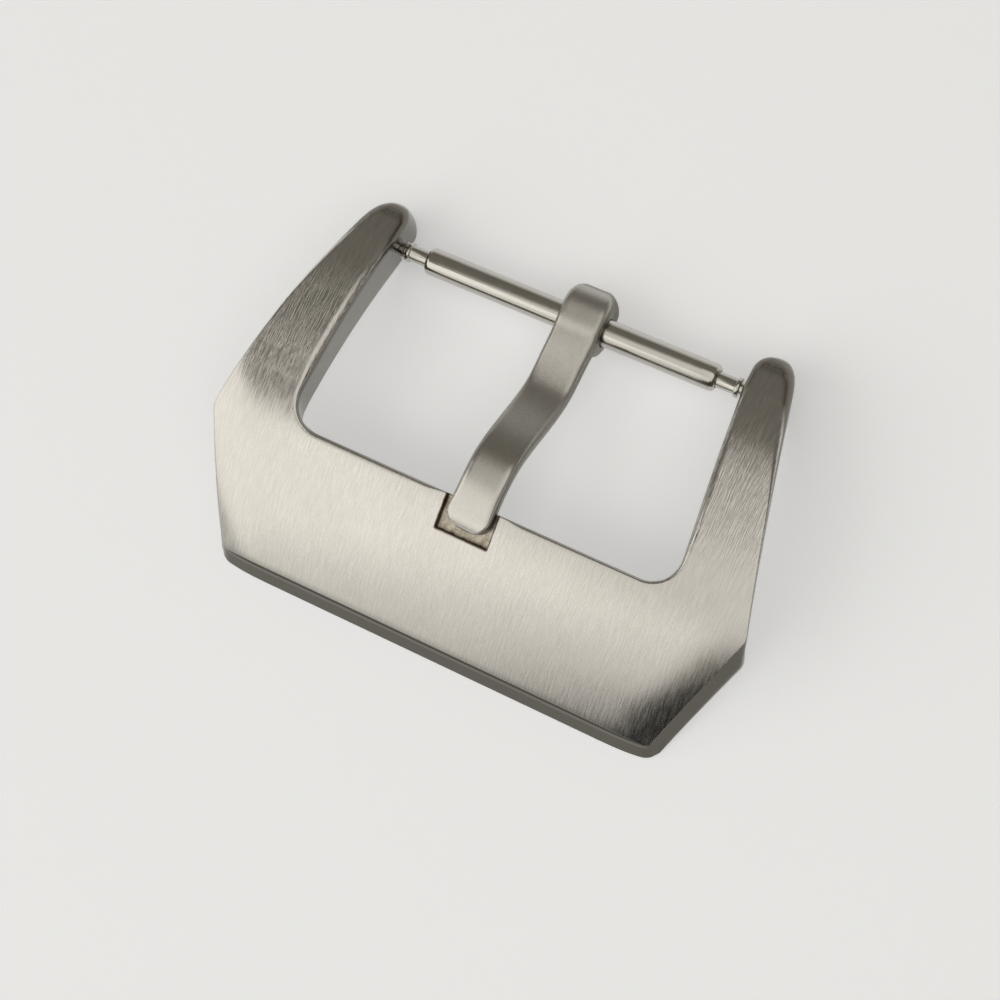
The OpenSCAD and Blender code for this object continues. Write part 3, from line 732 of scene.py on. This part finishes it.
# The two sides: a ladder of faces across the nose, and triangles between the rest and the bore.
tip_at, n_nose = int(np.argmax(outline[:, 0])), 50
from_tip = (np.arange(n_out) + tip_at) % n_out
rest = slice(n_nose, n_out - n_nose + 1)
for side in (0, 1):
    col = side * (n_across - 1)
    ring_out = from_tip * n_across + col
    faces += [[int(ring_out[k]), int(ring_out[k + 1]), int(ring_out[-k - 1]), int(ring_out[-k])]
              for k in range(1, n_nose)] + [[int(ring_out[0]), int(ring_out[1]), int(ring_out[-1])]]
    ring_bore = start + np.arange(n_bore) * 2 + side
    loops = [[mathutils.Vector((p[0], p[1], 0)) for p in skin_dz[from_tip[rest], col]],
             [mathutils.Vector((p[0], p[1], 0)) for p in bore[::-1]]]
    index = np.r_[ring_out[rest], ring_bore[::-1]]
    for tri in mathutils.geometry.tessellate_polygon(loops):
        faces.append([int(index[v]) for v in tri])
skin_round = np.roll(skin_pts, -1, axis=0) - np.roll(skin_pts, 1, axis=0)
skin_normal = unit(np.cross(skin_round, np.gradient(skin_pts, axis=1)))
# How steep the skin is, for the sides' painted shade: 0 on the faces, 1 on the sides and in the bore.
tongue_side = np.r_[ease((0.62 - np.abs(skin_normal[..., 2])) / 0.3).ravel(), np.ones(2 * n_bore)]
tongue_pts = np.vstack([skin_pts.reshape(-1, 3), bore_pts.reshape(-1, 3)])
tongue = make_piece("tongue_strip", tongue_pts, faces, crease=38.0, side=tongue_side)

satin, w, shader = new_finish("satin_steel", Metallic=1.0)
place = w.node("ShaderNodeTexCoord", out=3)
drawn = w.node("ShaderNodeVectorMath", {"operation": "MULTIPLY"}, in0=place, in1=(5200.0, 900.0, 2600.0))
lines, grit = drawn.noise(1.0, 2.0), place.noise(6500.0, 2.0)
tongue_y = place.parts()[1]
by_heel = tongue_y.step(1.0, 5.0)
# The tip is painted lighter, a painted highlight.
painted_tip_highlight = 0.35 - 0.35 * tongue_y.step(-3.5, 1.0)
bright = (0.5 * lines + 0.5 * grit).tint((0.46, 0.445, 0.41), (0.62, 0.60, 0.56))
bright = painted_tip_highlight.tint(bright, (0.74, 0.72, 0.675))
on_side = w.node("ShaderNodeSeparateXYZ", in0=w.node("ShaderNodeUVMap", {"uv_map": "side"}))
# The steep sides are painted darker, a painted shade.
feed(on_side.tint(bright, (0.232, 0.216, 0.185)), shader, "Base Color")
feed(0.24 + 0.10 * grit + 0.10 * by_heel, shader, "Roughness")
feed((lines * 0.5 + grit * (0.5 + 1.6 * by_heel)).bump(0.5), shader, "Normal")
tongue.data.materials.append(satin)
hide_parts("tongue")
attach(tongue, "tongue")

# The floor: a plain pale sheet that curves up at its far rim, so that the buckle's
# shadow and the metal's reflections stay plain from every side.
FLOOR_LIFT = 0.33                  # a glow that only the camera and mirroring pieces see
FLOOR_Z, RIM_Z, FLOOR_POINTS = -0.00002, 0.5, 96
rim = np.radians(np.linspace(0, 80, 12))
radius = np.r_[0.001, 0.3, 0.5, 0.7 + 0.9 * np.sin(rim)]
level = FLOOR_Z + RIM_Z * np.r_[0, 0, 0, 1 - np.cos(rim)]
a = np.linspace(0, 2 * math.pi, FLOOR_POINTS, endpoint=False)[:, None]
sheet = np.stack([radius * np.cos(a), radius * np.sin(a), level + 0 * a], -1)
floor_mesh = bpy.data.meshes.new("floor")
floor_faces = quads(FLOOR_POINTS, len(radius), True, False).tolist()
middle_disc = np.arange(0, FLOOR_POINTS * len(radius), len(radius)).tolist()
floor_mesh.from_pydata(sheet.reshape(-1, 3).tolist(), [], floor_faces + [middle_disc])
floor_mesh.polygons.foreach_set("use_smooth", np.ones(len(floor_mesh.polygons), bool))
floor = bpy.data.objects.new("floor", floor_mesh)
bpy.context.scene.collection.objects.link(floor)
paper, w, shader = new_finish("pale_floor", Roughness=0.9)
shader.inputs["Base Color"].default_value = (0.86, 0.875, 0.90, 1)
shader.inputs["Emission Strength"].default_value = 1.0
rays = w.node("ShaderNodeLightPath").socket.node.outputs
seen = (Wire(w.tree, rays["Is Camera Ray"]) + Wire(w.tree, rays["Is Glossy Ray"])
        + Wire(w.tree, rays["Is Transmission Ray"]))
feed(seen.tint((0, 0, 0), (FLOOR_LIFT,) * 3), shader, "Emission Color")
floor.data.materials.append(paper)

# Light: a broad soft panel at the left front, a narrow one in front and a third
# overhead, placed by what the plate mirrors in the photograph, and a dim room.
world = bpy.data.worlds.new("room")
bpy.context.scene.world = world
world.use_nodes = True
world.node_tree.nodes["Background"].inputs["Color"].default_value = (1.0, 0.94, 0.80, 1)
world.node_tree.nodes["Background"].inputs["Strength"].default_value = 0.18


def panel(name, place, aim, size, glow, turned_by=0.0):
    """A soft rectangular lamp whose face shines at glow, where 1 is white. It looks at aim, and is turned in
    its own plane by an angle in degrees. Metres."""
    data = bpy.data.lights.new(name, "AREA")
    data.shape = "RECTANGLE"
    data.size, data.size_y = size
    data.energy = glow * math.pi * size[0] * size[1]
    data.color = (1.0, 0.98, 0.945)
    lamp = bpy.data.objects.new(name, data)
    lamp.location = place
    aimed = (mathutils.Vector(aim) - mathutils.Vector(place)).to_track_quat("-Z", "Y")
    lamp.rotation_euler = (aimed @ mathutils.Quaternion((0, 0, 1), math.radians(turned_by))).to_euler()
    bpy.context.scene.collection.objects.link(lamp)


panel("front_panel", (-0.441, -0.278, 0.380), (-0.126, 0.062, -0.020), (0.63, 0.525), 1.10)
panel("side_panel", (-0.133, -0.544, 0.40), (0.182, -0.204, 0), (0.20, 0.56), 0.76)
panel("over_panel", (0.150, -0.100, 0.494), (0.060, -0.100, -0.006), (0.576, 0.66), 0.70, -18.0)

# A black card stands beside the front panel, out of the camera's sight, so that the
# plate darkens towards its right corner and the front wall stays dark.
card_mesh = bpy.data.meshes.new("black_card")
card_corners = [(-0.06, -0.43, 0.0), (0.40, -0.30, 0.0), (0.40, -0.30, 0.36), (-0.06, -0.43, 0.29)]
card_mesh.from_pydata(card_corners, [], [[0, 1, 2, 3]])
card = bpy.data.objects.new("black_card", card_mesh)
bpy.context.scene.collection.objects.link(card)
black, _, shader = new_finish("black_card", Roughness=0.9)
shader.inputs["Base Color"].default_value = (0.012, 0.011, 0.010, 1)
card.data.materials.append(black)
card.visible_camera = False

# The camera, at the place that the photograph's own perspective gives: above and a
# little to the right of the buckle, with the lugs at the upper right of the picture.
view = bpy.data.cameras.new("view")
view.lens = 68.34
view.sensor_width = 36.0
view.clip_start = 0.002
camera = bpy.data.objects.new("view", view)
right = mathutils.Vector((0.88364689, 0.40685085, -0.23160431))
down = mathutils.Vector((0.39276116, -0.91349012, -0.10618132))
ahead = mathutils.Vector((-0.25476821, 0.00286161, -0.96699792))
turn = mathutils.Matrix((right, -down, -ahead)).transposed().to_4x4()
camera.matrix_world = mathutils.Matrix.Translation((0.030886, -0.002143, 0.117172)) @ turn
bpy.context.scene.collection.objects.link(camera)
bpy.context.scene.camera = camera
bpy.context.scene.view_settings.view_transform = "Standard"
